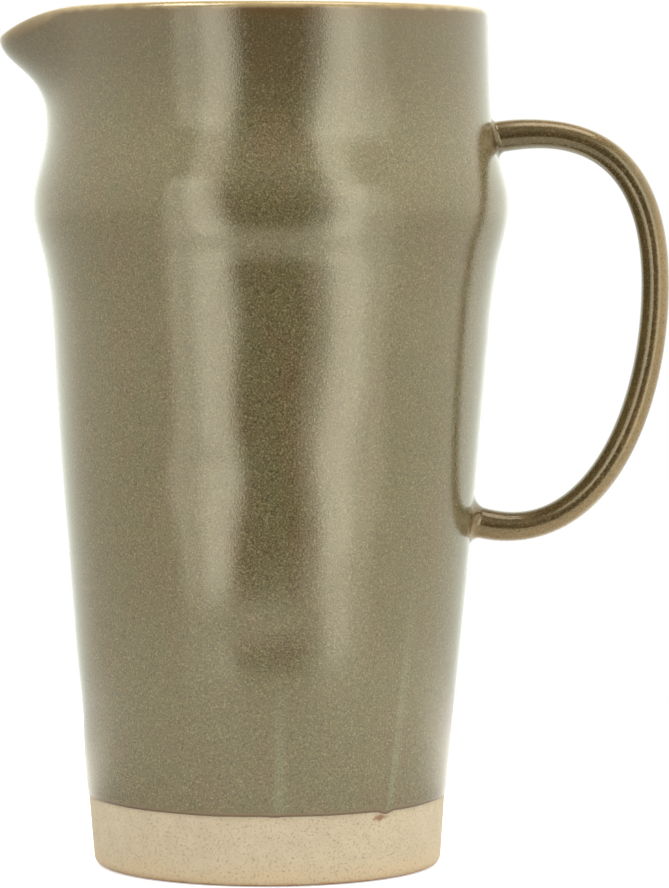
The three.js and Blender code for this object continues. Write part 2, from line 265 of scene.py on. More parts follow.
@dataclass(frozen=True)
class ThrownForm:
    """The pot's finished surface: a turned profile, pulled out to a spout and softly dented.

    Attributes:
        height: Rim above the foot.
        foot_radius: Outside radius at the foot.
        waist_radius: Outside radius at the top of the taper.
        taper_swell: How far the taper swells out halfway up.
        rim_radius: Outside radius at the rim.
        collar_height: Rim above the belt's crest.
        waist_drop: Top of the taper below the belt's crest.
        belt_rise: How far the belt stands out.
        belt_spread: Its reach up and down.
        foot_round: Rounding of the foot.
        bare_band: Height of the band without glaze.
        lip: Wall at the lip.
        foot_wall: Wall at the foot.
        floor: Thickness of the floor.
        inner_round: Rounding from the wall to the floor.
        lip_wrap: Edge of the outer coat inside the lip, below the rim.
        spout: The spout.
        dents: The dents.
    """

    height: float = 218.2 * MM
    foot_radius: float = 44.7 * MM
    waist_radius: float = 56.3 * MM
    taper_swell: float = 0.4 * MM
    rim_radius: float = 55.5 * MM
    collar_height: float = 49.8 * MM
    waist_drop: float = 18.4 * MM
    belt_rise: float = 4.1 * MM
    belt_spread: float = 9.2 * MM
    foot_round: float = 2.1 * MM
    bare_band: float = 17.8 * MM
    lip: float = 3.8 * MM
    foot_wall: float = 5.4 * MM
    floor: float = 6.5 * MM
    inner_round: float = 9 * MM
    lip_wrap: float = 6 * MM
    spout: Spout = Spout()
    dents: tuple[Dent, ...] = DENTS

    @property
    def crest_height(self) -> float:
        """Height of the belt's crest."""
        return self.height - self.collar_height

    @property
    def waist_height(self) -> float:
        """Height of the top of the taper."""
        return self.crest_height - self.waist_drop

    @property
    def lip_height(self) -> float:
        """Height where the round of the lip begins."""
        return self.height - self.lip / 2

    @property
    def wrap_height(self) -> float:
        """Height of the outer coat's edge inside the lip."""
        return self.height - self.lip_wrap

    def outside_radius(self, z: float) -> float:
        """Measures the turned outside.

        Args:
            z: A height.

        Returns:
            The radius there.
        """
        belt = self.belt_rise * bell((z - self.crest_height) / self.belt_spread)
        if z > self.waist_height:
            up = (z - self.waist_height) / (self.height - self.waist_height)
            return belt + lerp(self.waist_radius, self.rim_radius, up)
        up = z / self.waist_height
        swell = 4 * self.taper_swell * up * (1 - up)
        return belt + lerp(self.foot_radius, self.waist_radius, up) + swell

    def inside_radius(self, z: float) -> float:
        """The turned inside's radius at a height."""
        return self.outside_radius(z) - lerp(self.foot_wall, self.lip, z / self.lip_height)

    def worked(self, point: Vector) -> Vector:
        """Pulls the spout and presses the dents.

        Args:
            point: A point of the turned form.

        Returns:
            Where it ends up.
        """
        turn = math.degrees(math.atan2(point.y, point.x))
        from_spout = away(turn, self.spout.turn)
        pull = bell((self.height - point.z) / self.spout.depth)
        push = self.spout.reach * pull * bell(from_spout / self.spout.spread)
        for dent in self.dents:
            above = (point.z - dent.height) / dent.up
            if abs(above) < BELL_END:
                along = math.radians(away(turn, dent.turn)) * self.outside_radius(dent.height)
                push -= dent.depth * bell(above) * bell(along / dent.around)
        share = 1 + push / self.outside_radius(point.z)
        drop = self.spout.drop * pull * bell(from_spout / self.spout.dip)
        return Vector((point.x * share, point.y * share, point.z - drop))

    def onto_wall(self, point: Vector, along: Vector) -> Vector:
        """Slides a point onto the finished wall.

        Args:
            point: A point near the wall.
            along: The way it slides, which leaves the wall towards +X.

        Returns:
            The point on the wall in line with it.
        """
        found = point.copy()
        for _ in range(SLIDES):
            turn = math.atan2(found.y, found.x)
            radius = self.outside_radius(found.z)
            wall = self.worked(Vector((radius * math.cos(turn), radius * math.sin(turn), found.z)))
            found += along * ((wall.xy.length - found.xy.length) / along.x)
        return found


class Fade(NamedTuple):
    """An eased change of one number with another.

    Attributes:
        low: The other number where the change starts.
        high: The other number where it ends.
        start: The result at low and before it.
        end: The result at high and past it.
    """

    low: float
    high: float
    start: float = 0.0
    end: float = 1.0


class Lumps(NamedTuple):
    """Soft cloudy noise around 0.5.

    Attributes:
        size: About how large its lumps are.
        detail: How many times finer noise is laid on them.
    """

    size: float
    detail: float = 2.0


class Stray(NamedTuple):
    """How a number strays from place to place.

    Attributes:
        reach: How far it strays.
        size: About how large the lumps are in which it does so.
        detail: How many times finer noise is laid on them.
    """

    reach: float
    size: float
    detail: float = 2.0


class Spots(NamedTuple):
    """Scattered spots.

    Attributes:
        pitch: Distance between the places where one may be.
        radius: A spot's radius.
        share: How many of the places have one.
    """

    pitch: float
    radius: float
    share: float


class Graph:
    """A hand for laying out the nodes of one material or world."""

    def __init__(self, tree: bpy.types.NodeTree, coordinates: str) -> None:
        """Takes the tree that the nodes go into, and the coordinates that patterns are read by."""
        self.tree = tree
        self.at = self.make("ShaderNodeTexCoord", {}).outputs[coordinates]

    def make(self, kind: str, sockets: Mapping[str | int, Value], **settings: Any) -> bpy.types.Node:
        """Adds a node.

        Args:
            kind: The node's type.
            sockets: What goes into its inputs: a value, or another node's output.
            **settings: The node's own options.

        Returns:
            The node.
        """
        node = self.tree.nodes.new(kind)
        for name, setting in settings.items():
            setattr(node, name, setting)
        self.feed(node, sockets)
        return node

    def feed(self, node: bpy.types.Node, sockets: Mapping[str | int, Value]) -> None:
        """Sets or links a node's inputs.

        Args:
            node: The node.
            sockets: What goes into its inputs, by their names or places.
        """
        for key, value in sockets.items():
            if isinstance(value, Socket):
                self.tree.links.new(value, node.inputs[key])
            else:
                node.inputs[key].default_value = value

    def math(self, operation: str, *values: Value) -> Socket:
        """The result of a sum on one or more numbers."""
        return self.make("ShaderNodeMath", dict(enumerate(values)), operation=operation).outputs[0]

    def vector(self, operation: str, *values: Value) -> Socket:
        """The number that comes of a sum on vectors."""
        node = self.make("ShaderNodeVectorMath", dict(enumerate(values)), operation=operation)
        return node.outputs["Value"]

    def ramp(self, value: Value, low: float, high: float, start: Value = 0.0, end: Value = 1.0) -> Socket:
        """Eases from start to end as a value goes from low to high.

        Args:
            value: The value.
            low: Where the change starts.
            high: Where it ends.
            start: The result at low and before it.
            end: The result at high and past it.

        Returns:
            The eased number.
        """
        if low > high:
            low, high, start, end = high, low, end, start
        sockets = {"Value": value, "From Min": low, "From Max": high, "To Min": start, "To Max": end}
        return self.make("ShaderNodeMapRange", sockets, interpolation_type="SMOOTHSTEP").outputs[0]

    def between(self, share: Value, first: Value, second: Value) -> Socket:
        """A number eased between two."""
        return self.ramp(share, 0.0, 1.0, first, second)

    def blend(self, share: Value, first: Value, second: Value) -> Socket:
        """Mixes two colours.

        Args:
            share: How much of the second there is.
            first: The colour at 0.
            second: The colour at 1.

        Returns:
            The mixed colour.
        """
        node = self.make("ShaderNodeMix", {}, data_type="RGBA")
        inputs = {socket.identifier: socket for socket in node.inputs}
        ends = {"Factor_Float": share, "A_Color": first, "B_Color": second}
        for name, value in ends.items():
            if isinstance(value, Socket):
                self.tree.links.new(value, inputs[name])
            else:
                inputs[name].default_value = value if name == "Factor_Float" else (*value, 1)
        return next(s for s in node.outputs if s.identifier == "Result_Color")

    def noise(self, size: float, detail: float, at: Socket | None = None) -> Socket:
        """Soft cloudy noise around 0.5, from the values of Lumps."""
        sockets = {"Vector": self.at if at is None else at, "Scale": 1 / size, "Detail": detail}
        return self.make("ShaderNodeTexNoise", sockets).outputs["Fac"]

    def stray(self, value: Value, reach: float, size: float, detail: float) -> Socket:
        """A number that strays from place to place, from the values of Stray."""
        return self.math("MULTIPLY_ADD", self.noise(size, detail), reach, value)

    def spots(self, pitch: float, radius: float, share: float) -> Socket:
        """Strews spots, from the values of Spots.

        Args:
            pitch: Distance between the places where a spot may be.
            radius: A spot's radius.
            share: How many of the places have one.

        Returns:
            1 in a spot and 0 elsewhere.
        """
        cells = self.make("ShaderNodeTexVoronoi", {"Vector": self.at, "Scale": 1 / pitch}).outputs
        edge = (radii * radius / pitch for radii in SPOT_EDGE)
        chosen = self.make("ShaderNodeSeparateColor", {"Color": cells["Color"]}).outputs[0]
        kept = self.math("GREATER_THAN", chosen, 1 - share)
        return self.math("MULTIPLY", self.ramp(cells["Distance"], *edge), kept)

    def xyz(self) -> bpy.types.NodeOutputs:
        """The coordinates' parts along X, Y and Z."""
        return self.make("ShaderNodeSeparateXYZ", {"Vector": self.at}).outputs

    def attribute(self, name: str) -> Socket:
        """A number that the mesh keeps at its points."""
        return self.make("ShaderNodeAttribute", {}, attribute_name=name).outputs["Fac"]

    def bump(self, height: Socket, strength: float) -> Socket:
        """The normal of a surface with a fine grain."""
        sockets = {"Height": height, "Strength": strength, "Distance": GRAIN_DEPTH}
        return self.make("ShaderNodeBump", sockets).outputs["Normal"]

    def rays(self) -> tuple[Socket, Socket]:
        """Whether a ray comes from the camera, and whether it comes from a gloss or through glass."""
        ray = self.make("ShaderNodeLightPath", {}).outputs
        return ray["Is Camera Ray"], self.math("MAXIMUM", ray["Is Glossy Ray"], ray["Is Transmission Ray"])

    def faced(self, turn: float) -> tuple[Socket, Socket]:
        """Measures from the pot's axis on the side that faces one way.

        Args:
            turn: The way, in degrees round from +X.

        Returns:
            The distance aside, towards a larger turn, and 1 on that side of the axis or 0 beyond it.
        """
        angle = math.radians(turn)
        aside = self.vector("DOT_PRODUCT", self.at, (-math.sin(angle), math.cos(angle), 0))
        outward = self.vector("DOT_PRODUCT", self.at, (math.cos(angle), math.sin(angle), 0))
        return aside, self.math("GREATER_THAN", outward, 0.0)


@dataclass(frozen=True)
class Finish(ABC):
    """What a surface is finished with.

    Attributes:
        name: The material's name.
    """

    name: str

    @abstractmethod
    def shader(self, graph: Graph) -> dict[str, Value]:
        """What goes into the shader's sockets at each place."""

    def material(self) -> bpy.types.Material:
        """Makes the material.

        Returns:
            The material, its shader fed.
        """
        made = bpy.data.materials.new(self.name)
        made.use_nodes = True
        graph = Graph(made.node_tree, "Object")
        graph.feed(made.node_tree.nodes["Principled BSDF"], self.shader(graph))
        return made


@dataclass(frozen=True)
class SatinGlaze(Finish):
    """A satin stoneware glaze: olive and brown clouds under fine golden flecks.

    Attributes:
        olive: Colour of the thick, cool clouds.
        brown: Colour of the thin, warm clouds.
        fleck: Colour of the fine flecks.
        gilt: Colour where the flecks gather.
        shade: Colour between the flecks.
        ember: Colour of a few larger flecks.
        gleam: Tint of its gloss.
        clouds: The clouds.
        browning: How olive gives way to brown in them.
        grains: The grains that make the flecks.
        shading: How much shade is in a grain.
        flecking: How much fleck is in a grain.
        gatherings: Where flecks gather.
        gilding: How much gilt is there.
        embers: The larger flecks.
        ember_strength: How much of their colour shows.
        patches: Patches of more and less gloss.
        blur: How blurred the gloss is in them.
        index: Index of refraction.
        relief: How strongly the grains stand out.
    """

    olive: Colour = (0.124, 0.102, 0.046)
    brown: Colour = (0.13, 0.096, 0.045)
    fleck: Colour = (0.29, 0.235, 0.125)
    gilt: Colour = (0.165, 0.125, 0.04)
    shade: Colour = (0.045, 0.03, 0.008)
    ember: Colour = (0.34, 0.17, 0.07)
    gleam: Colour = (1.0, 0.955, 0.74)
    clouds: Lumps = Lumps(9 * MM, 3.0)
    browning: Fade = Fade(0.38, 0.62)
    grains: Lumps = Lumps(0.45 * MM, 1.0)
    shading: Fade = Fade(0.5, 0.24, 0.0, 0.8)
    flecking: Fade = Fade(0.5, 0.78, 0.0, 0.8)
    gatherings: Lumps = Lumps(1.2 * MM)
    gilding: Fade = Fade(0.5, 0.75, 0.0, 0.5)
    embers: Spots = Spots(3.4 * MM, 0.24 * MM, 0.08)
    ember_strength: float = 0.6
    patches: Lumps = Lumps(6 * MM, 3.0)
    blur: Fade = Fade(0.35, 0.65, 0.125, 0.16)
    index: float = 1.92
    relief: float = 0.5

    def shader(self, graph: Graph) -> dict[str, Value]:
        """What goes into the shader's sockets at each place."""
        return {
            "Base Color": self.colour(graph),
            "Roughness": graph.ramp(graph.noise(*self.patches), *self.blur),
            "IOR": self.index,
            "Specular Tint": (*self.gleam, 1),
            "Normal": graph.bump(graph.noise(*self.grains), self.relief),
        }

    def colour(self, graph: Graph) -> Socket:
        """The glaze's colour at each place."""
        return self.flecked(graph, self.clouded(graph))

    def clouded(self, graph: Graph) -> Socket:
        """Olive and brown clouds."""
        share = graph.ramp(graph.noise(*self.clouds), *self.browning)
        return graph.blend(share, self.olive, self.brown)

    def flecked(self, graph: Graph, ground: Socket) -> Socket:
        """Strews fine light and dark grains.

        Args:
            graph: Where the nodes go.
            ground: The colour that they lie on.

        Returns:
            The colour with the grains.
        """
        grains = graph.noise(*self.grains)
        dark = graph.blend(graph.ramp(grains, *self.shading), ground, self.shade)
        light = graph.blend(graph.ramp(grains, *self.flecking), dark, self.fleck)
        gilt = graph.ramp(graph.noise(*self.gatherings), *self.gilding)
        gilded = graph.blend(gilt, light, self.gilt)
        embers = graph.math("MULTIPLY", graph.spots(*self.embers), self.ember_strength)
        return graph.blend(embers, gilded, self.ember)


@dataclass(frozen=True)
class BodyGlaze(SatinGlaze):
    """The glaze on the pot, which breaks to gold on the lip, browns below it, runs, and ends in a dark edge.

    Heights of the lip's colours are measured from the rim, and those of the edge's from the bare band.

    Attributes:
        form: The pot that it covers.
        runs: Its streaks.
        lip_gold: Colour where it thins on the lip.
        lip_brown: Colour close under the lip.
        rim_brown: Colour of the stretch below that.
        russet: Colour of thin, warm trails.
        green: Colour of thick, cool trails.
        run_green: Colour of the streaks.
        edge_gold: Colour close above its lower edge.
        edge: Colour of its lower edge.
        trails: The trails, before they are drawn out.
        trail_squash: How much they are squashed to draw them out up and down.
        greening: The noise where green sets in.
        warming: The noise where russet sets in.
        trail_strength: How much of either shows, by height.
        drift: How the streaks drift aside, in their widths.
        run_front: How a streak sets in, in its widths.
        run_back: How it trails off on the other side.
        run_fade: How it fades towards its top, as a share of its height.
        burning: How much rim_brown there is, by height.
        lip_stray: How the lip's colours stray up and down.
        lip_burning: How much lip_brown there is, by height.
        spout_side: Where along X the spout's softer gold sets in.
        gold_from: Height where the gold sets in, round the rim and at the spout.
        gold_blur: How far it takes, in both places.
        gold_most: How much of it there is then.
        edge_warming: How much edge_gold there is, by height.
        edge_burning: How much of the edge's colour there is, by height.
    """

    form: ThrownForm = ThrownForm()
    runs: tuple[GlazeRun, ...] = RUNS
    lip_gold: Colour = (0.44, 0.315, 0.14)
    lip_brown: Colour = (0.1, 0.05, 0.014)
    rim_brown: Colour = (0.072, 0.046, 0.018)
    russet: Colour = (0.155, 0.093, 0.045)
    green: Colour = (0.122, 0.115, 0.062)
    run_green: Colour = (0.168, 0.162, 0.09)
    edge_gold: Colour = (0.16, 0.105, 0.05)
    edge: Colour = (0.085, 0.036, 0.014)
    trails: Lumps = Lumps(8 * MM, 3.0)
    trail_squash: float = 0.12
    greening: Span = (0.5, 0.7)
    warming: Span = (0.5, 0.3)
    trail_strength: Fade = Fade(140 * MM, 185 * MM, 0.28, 0.48)
    drift: Stray = Stray(1.0, 9 * MM)
    run_front: Fade = Fade(-0.4, 0.1)
    run_back: Fade = Fade(3.0, 0.5)
    run_fade: Fade = Fade(1.0, 0.5, 0.0, 0.8)
    burning: Fade = Fade(-34 * MM, -6 * MM, 0.0, 0.45)
    lip_stray: Stray = Stray(1.6 * MM, 4 * MM, 3.0)
    lip_burning: Fade = Fade(-5 * MM, -1.2 * MM, 0.0, 0.7)
    spout_side: Fade = Fade(-46 * MM, -62 * MM)
    gold_from: Span = (-1.3 * MM, -4 * MM)
    gold_blur: Span = (1.8 * MM, 4.5 * MM)
    gold_most: Span = (0.9, 0.45)
    edge_warming: Fade = Fade(1.2 * MM, 0.6 * MM)
    edge_burning: Fade = Fade(0.6 * MM, 0.35 * MM)

    def colour(self, graph: Graph) -> Socket:
        """Lays the glaze's colours over each other.

        Args:
            graph: Where the nodes go.

        Returns:
            The colour at each place.
        """
        height = graph.attribute(THROWN_HEIGHT)
        from_rim = graph.math("SUBTRACT", height, self.form.height)
        from_edge = graph.math("SUBTRACT", height, self.form.bare_band)
        ground = self.trailed(graph, height)
        for run in self.runs:
            ground = graph.blend(self.streak(graph, run), ground, self.run_green)
        burnt = graph.ramp(from_rim, *self.burning)
        ground = self.flecked(graph, graph.blend(burnt, ground, self.rim_brown))
        ground = graph.blend(burnt, ground, self.rim_brown)
        ground = self.lipped(graph, from_rim, ground)
        ground = graph.blend(graph.ramp(from_edge, *self.edge_warming), ground, self.edge_gold)
        return graph.blend(graph.ramp(from_edge, *self.edge_burning), ground, self.edge)

    def trailed(self, graph: Graph, height: Socket) -> Socket:
        """Draws green and russet trails over the clouds.

        Args:
            graph: Where the nodes go.
            height: The place's height on the turned form.

        Returns:
            The colour at each place.
        """
        squashed = graph.make("ShaderNodeMapping", {"Vector": graph.at, "Scale": (1, 1, self.trail_squash)})
        trails = graph.noise(*self.trails, squashed.outputs["Vector"])
        strength = graph.ramp(height, *self.trail_strength)
        ground = self.clouded(graph)
        for span, colour in ((self.greening, self.green), (self.warming, self.russet)):
            ground = graph.blend(graph.ramp(trails, *span, 0.0, strength), ground, colour)
        return ground

    def streak(self, graph: Graph, run: GlazeRun) -> Socket:
        """Finds how much of a streak there is.

        Args:
            graph: Where the nodes go.
            run: The streak.

        Returns:
            The share of its colour at each place.
        """
        z = graph.xyz()["Z"]
        aside, near = graph.faced(run.turn)
        lean = graph.math("MULTIPLY_ADD", z, run.lean, -run.lean * self.form.bare_band)
        widths = graph.math("DIVIDE", graph.math("SUBTRACT", aside, lean), run.width)
        drift = graph.stray(-self.drift.reach / 2, *self.drift)
        across = graph.math("SUBTRACT", widths, drift)
        front, back = graph.ramp(across, *self.run_front), graph.ramp(across, *self.run_back)
        low = graph.ramp(graph.math("DIVIDE", z, run.top), *self.run_fade)
        return graph.math("MULTIPLY", graph.math("MULTIPLY", front, back), graph.math("MULTIPLY", near, low))

    def lipped(self, graph: Graph, from_rim: Socket, ground: Socket) -> Socket:
        """Browns the glaze under the lip and breaks it to gold on the lip.

        Args:
            graph: Where the nodes go.
            from_rim: The place's height from the rim on the turned form.
            ground: The colour before that.

        Returns:
            The colour at each place.
        """
        wander = graph.stray(from_rim, *self.lip_stray)
        ground = graph.blend(graph.ramp(wander, *self.lip_burning), ground, self.lip_brown)
        spout = graph.ramp(graph.xyz()["X"], *self.spout_side)
        sets_in, blur, most = (
            graph.between(spout, *ends) for ends in (self.gold_from, self.gold_blur, self.gold_most)
        )
        gold = graph.math("DIVIDE", graph.math("SUBTRACT", wander, sets_in), blur)
        return graph.blend(graph.between(gold, 0.0, most), ground, self.lip_gold)


@dataclass(frozen=True)
class HandleGlaze(SatinGlaze):
    """The thinner, browner glaze on the handle, which turns gold along the outer side of the loop: partly
    where the thin glaze breaks to gold, partly a painted reflection of the light above.

    Attributes:
        gold: Colour where it is thinnest, which also paints in the reflection of the light above.
        straying: How the gold's edge strays.
        gold_by_height: How much more gold there is than the outward side alone gives, by height: thin glaze
            and painted reflection.
        deepening: How much shade there is in it, by height.
        gold_and_painted_reflection: How much gold there is where it is thin, the painted reflection of the
            light above included.
    """

    olive: Colour = (0.066, 0.041, 0.015)
    brown: Colour = (0.1, 0.061, 0.021)
    fleck: Colour = (0.2, 0.135, 0.055)
    gilt: Colour = (0.1, 0.061, 0.021)
    gleam: Colour = (1.0, 0.87, 0.58)
    gold: Colour = (0.3, 0.19, 0.076)
    straying: Stray = Stray(0.3, 3 * MM)
    gold_by_height: Fade = Fade(176 * MM, 150 * MM, -0.1, 0.3)
    deepening: Fade = Fade(160 * MM, 176 * MM, 0.0, 0.65)
    gold_and_painted_reflection: Fade = Fade(0.4, 1.15, 0.0, 0.72)

    def clouded(self, graph: Graph) -> Socket:
        """Turns the clouds to gold towards the outer side, where the glaze is thin and a reflection of the
        light above is painted in.

        Args:
            graph: Where the nodes go.

        Returns:
            The colour at each place.
        """
        z = graph.xyz()["Z"]
        # Painted reflection: the gold mask on the outer side stands partly for the light above mirrored in
        # the glaze, partly for thin glaze.
        wander = graph.stray(graph.attribute(OUTWARD), *self.straying)
        thin = graph.math("ADD", wander, graph.ramp(z, *self.gold_by_height))
        ground = graph.blend(graph.ramp(z, *self.deepening), super().clouded(graph), self.shade)
        return graph.blend(graph.ramp(thin, *self.gold_and_painted_reflection), ground, self.gold)


@dataclass(frozen=True)
class BareClay(Finish):
    """Unglazed buff stoneware with fine brown specks, toasted at its lower edge.

    Attributes:
        buff: Colour of most of the clay.
        pale: Colour of its lighter clouds.
        speck: Colour of the specks.
        warm: Colour towards the foot.
        toast: Colour of the toasted edge.
        rust: Colour of a smear under the glaze's run.
        sheen_tint: Colour of its dusty sheen.
        clouds: The clouds.
        paling: How buff gives way to pale in them.
        grit: The fine grit.
        speckling: How much of the specks' colour is in it.
        specks: The specks, small and large.
        speck_strength: How much of their colour shows.
        warm_stray: How the warm colour strays up and down.
        warming: How much of it there is, by height.
        toast_stray: How the toasted edge strays up and down.
        toasting: How much toast there is, by height.
        rust_turn: Degrees round to the smear.
        rust_height: Height of the smear.
        rust_size: Its reach to each side, and up and down.
        rust_stray: How its edge strays, in its sizes.
        rusting: How much rust there is, by the distance from its middle.
        roughness: Roughness in the buff and in the pale clouds.
        sheen: How much sheen there is.
        sheen_blur: How blurred it is.
        relief: How strongly the grit stands out.
    """

    name: str = "bare_buff_clay"
    buff: Colour = (0.555, 0.462, 0.315)
    pale: Colour = (0.6, 0.504, 0.348)
    speck: Colour = (0.32, 0.225, 0.14)
    warm: Colour = (0.62, 0.47, 0.29)
    toast: Colour = (0.5, 0.26, 0.11)
    rust: Colour = (0.24, 0.075, 0.025)
    sheen_tint: Colour = (1.0, 0.93, 0.8)
    clouds: Lumps = Lumps(4 * MM, 4.0)
    paling: Fade = Fade(0.35, 0.65)
    grit: Lumps = Lumps(0.55 * MM)
    speckling: Fade = Fade(0.5, 0.76, 0.0, 0.7)
    specks: tuple[Spots, ...] = (Spots(1.6 * MM, 0.13 * MM, 0.25), Spots(3.4 * MM, 0.24 * MM, 0.14))
    speck_strength: float = 0.5
    warm_stray: Stray = Stray(-8 * MM, 12 * MM)
    warming: Fade = Fade(4 * MM, -4 * MM, 0.0, 0.8)
    toast_stray: Stray = Stray(-1.6 * MM, 7 * MM, 3.0)
    toasting: Fade = Fade(0.3 * MM, -0.8 * MM, 0.0, 0.85)
    rust_turn: float = 308.6
    rust_height: float = 16.2 * MM
    rust_size: Span = (2.8 * MM, 0.9 * MM)
    rust_stray: Stray = Stray(1.6, 1.1 * MM)
    rusting: Fade = Fade(1.9, 1.1, 0.0, 0.75)
    roughness: Span = (0.78, 0.88)
    sheen: float = 0.15
    sheen_blur: float = 0.5
    relief: float = 0.4

    def shader(self, graph: Graph) -> dict[str, Value]:
        """Lays the clay's colours over each other.

        Args:
            graph: Where the nodes go.

        Returns:
            What goes into the shader's sockets at each place.
        """
        z = graph.xyz()["Z"]
        clouds = graph.ramp(graph.noise(*self.clouds), *self.paling)
        ground = graph.blend(clouds, self.buff, self.pale)
        warmth = graph.ramp(graph.stray(z, *self.warm_stray), *self.warming)
        ground = graph.blend(warmth, ground, self.warm)
        grit = graph.noise(*self.grit)
        ground = graph.blend(graph.ramp(grit, *self.speckling), ground, self.speck)
        for spots in self.specks:
            specks = graph.math("MULTIPLY", graph.spots(*spots), self.speck_strength)
            ground = graph.blend(specks, ground, self.speck)
        ground = graph.blend(self.smear(graph, z), ground, self.rust)
        toast = graph.ramp(graph.stray(z, *self.toast_stray), *self.toasting)
        return {
            "Base Color": graph.blend(toast, ground, self.toast),
            "Roughness": graph.between(clouds, *self.roughness),
            "Sheen Weight": self.sheen,
            "Sheen Roughness": self.sheen_blur,
            "Sheen Tint": (*self.sheen_tint, 1),
            "Normal": graph.bump(grit, self.relief),
        }

    def smear(self, graph: Graph, z: Socket) -> Socket:
        """Finds how much rust there is.

        Args:
            graph: Where the nodes go.
            z: The place's height.

        Returns:
            The share of rust at each place.
        """
        wide, tall = self.rust_size
        aside, near = graph.faced(self.rust_turn)
        across = graph.math("DIVIDE", aside, wide)
        up = graph.math("DIVIDE", graph.math("SUBTRACT", z, self.rust_height), tall)
        far = graph.math("SQRT", graph.math("MULTIPLY_ADD", up, up, graph.math("MULTIPLY", across, across)))
        ragged = graph.stray(far, *self.rust_stray)
        return graph.math("MULTIPLY", near, graph.ramp(ragged, *self.rusting))


def finished(name: str, bm: bmesh.types.BMesh, node: Node, finish: Finish) -> None:
    """Makes a bmesh a smooth piece of the jug.

    Args:
        name: The piece's name.
        bm: Its mesh, which is used up.
        node: The frame's solid that it stands for.
        finish: Its finish.
    """
    mesh = bpy.data.meshes.new(name)
    for face in bm.faces:
        face.smooth = True
    bm.to_mesh(mesh)
    bm.free()
    piece = bpy.data.objects.new(name, mesh)
    bpy.context.scene.collection.objects.link(piece)
    mesh.materials.append(finish.material())
    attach(piece, BODY)
    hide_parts(node.value)
    LOG.info("%s: %d faces, for %s", name, len(mesh.polygons), node.value)


def turned(outline: Outline, around: int, ring: bool) -> bmesh.types.BMesh:
    """Turns an outline in the XZ plane round the Z axis.

    Args:
        outline: Its points.
        around: How many steps there are in the full turn.
        ring: Whether the outline closes on itself, or starts and ends on the axis.

    Returns:
        The closed form, its faces outwards.
    """
    bm = bmesh.new()
    verts = [bm.verts.new(point) for point in outline]
    edges = [bm.edges.new(pair) for pair in zip(verts, verts[1:])]
    if ring:
        edges.append(bm.edges.new((verts[-1], verts[0])))
    bmesh.ops.spin(
        bm, geom=verts + edges, axis=(0, 0, 1), cent=(0, 0, 0), angle=math.tau, steps=around, use_merge=True
    )
    bmesh.ops.remove_doubles(bm, verts=bm.verts[:], dist=WELD)
    bmesh.ops.recalc_face_normals(bm, faces=bm.faces[:])
    return bm


def lofted(rings: list[Outline], ring: bool) -> bmesh.types.BMesh:
    """Bridges a row of loops with the same number of points.

    Args:
        rings: The loops' points.
        ring: Whether the last loop is bridged to the first, or both ends are closed flat.

    Returns:
        The closed form, its faces outwards.
    """
    bm = bmesh.new()
    loops = []
    for points in rings:
        verts = bmesh.ops.create_circle(bm, segments=len(points), radius=1.0)["verts"]
        for vert, point in zip(verts, points):
            vert.co = point
        loops.append(list(dict.fromkeys(edge for vert in verts for edge in vert.link_edges)))
    for first, second in zip(loops, loops[1:]):
        bmesh.ops.bridge_loops(bm, edges=first + second)
    if ring:
        bmesh.ops.bridge_loops(bm, edges=loops[-1] + loops[0])
    else:
        for loop in (loops[0], loops[-1]):
            bmesh.ops.edgeloop_fill(bm, edges=loop)
    bmesh.ops.recalc_face_normals(bm, faces=bm.faces[:])
    return bm


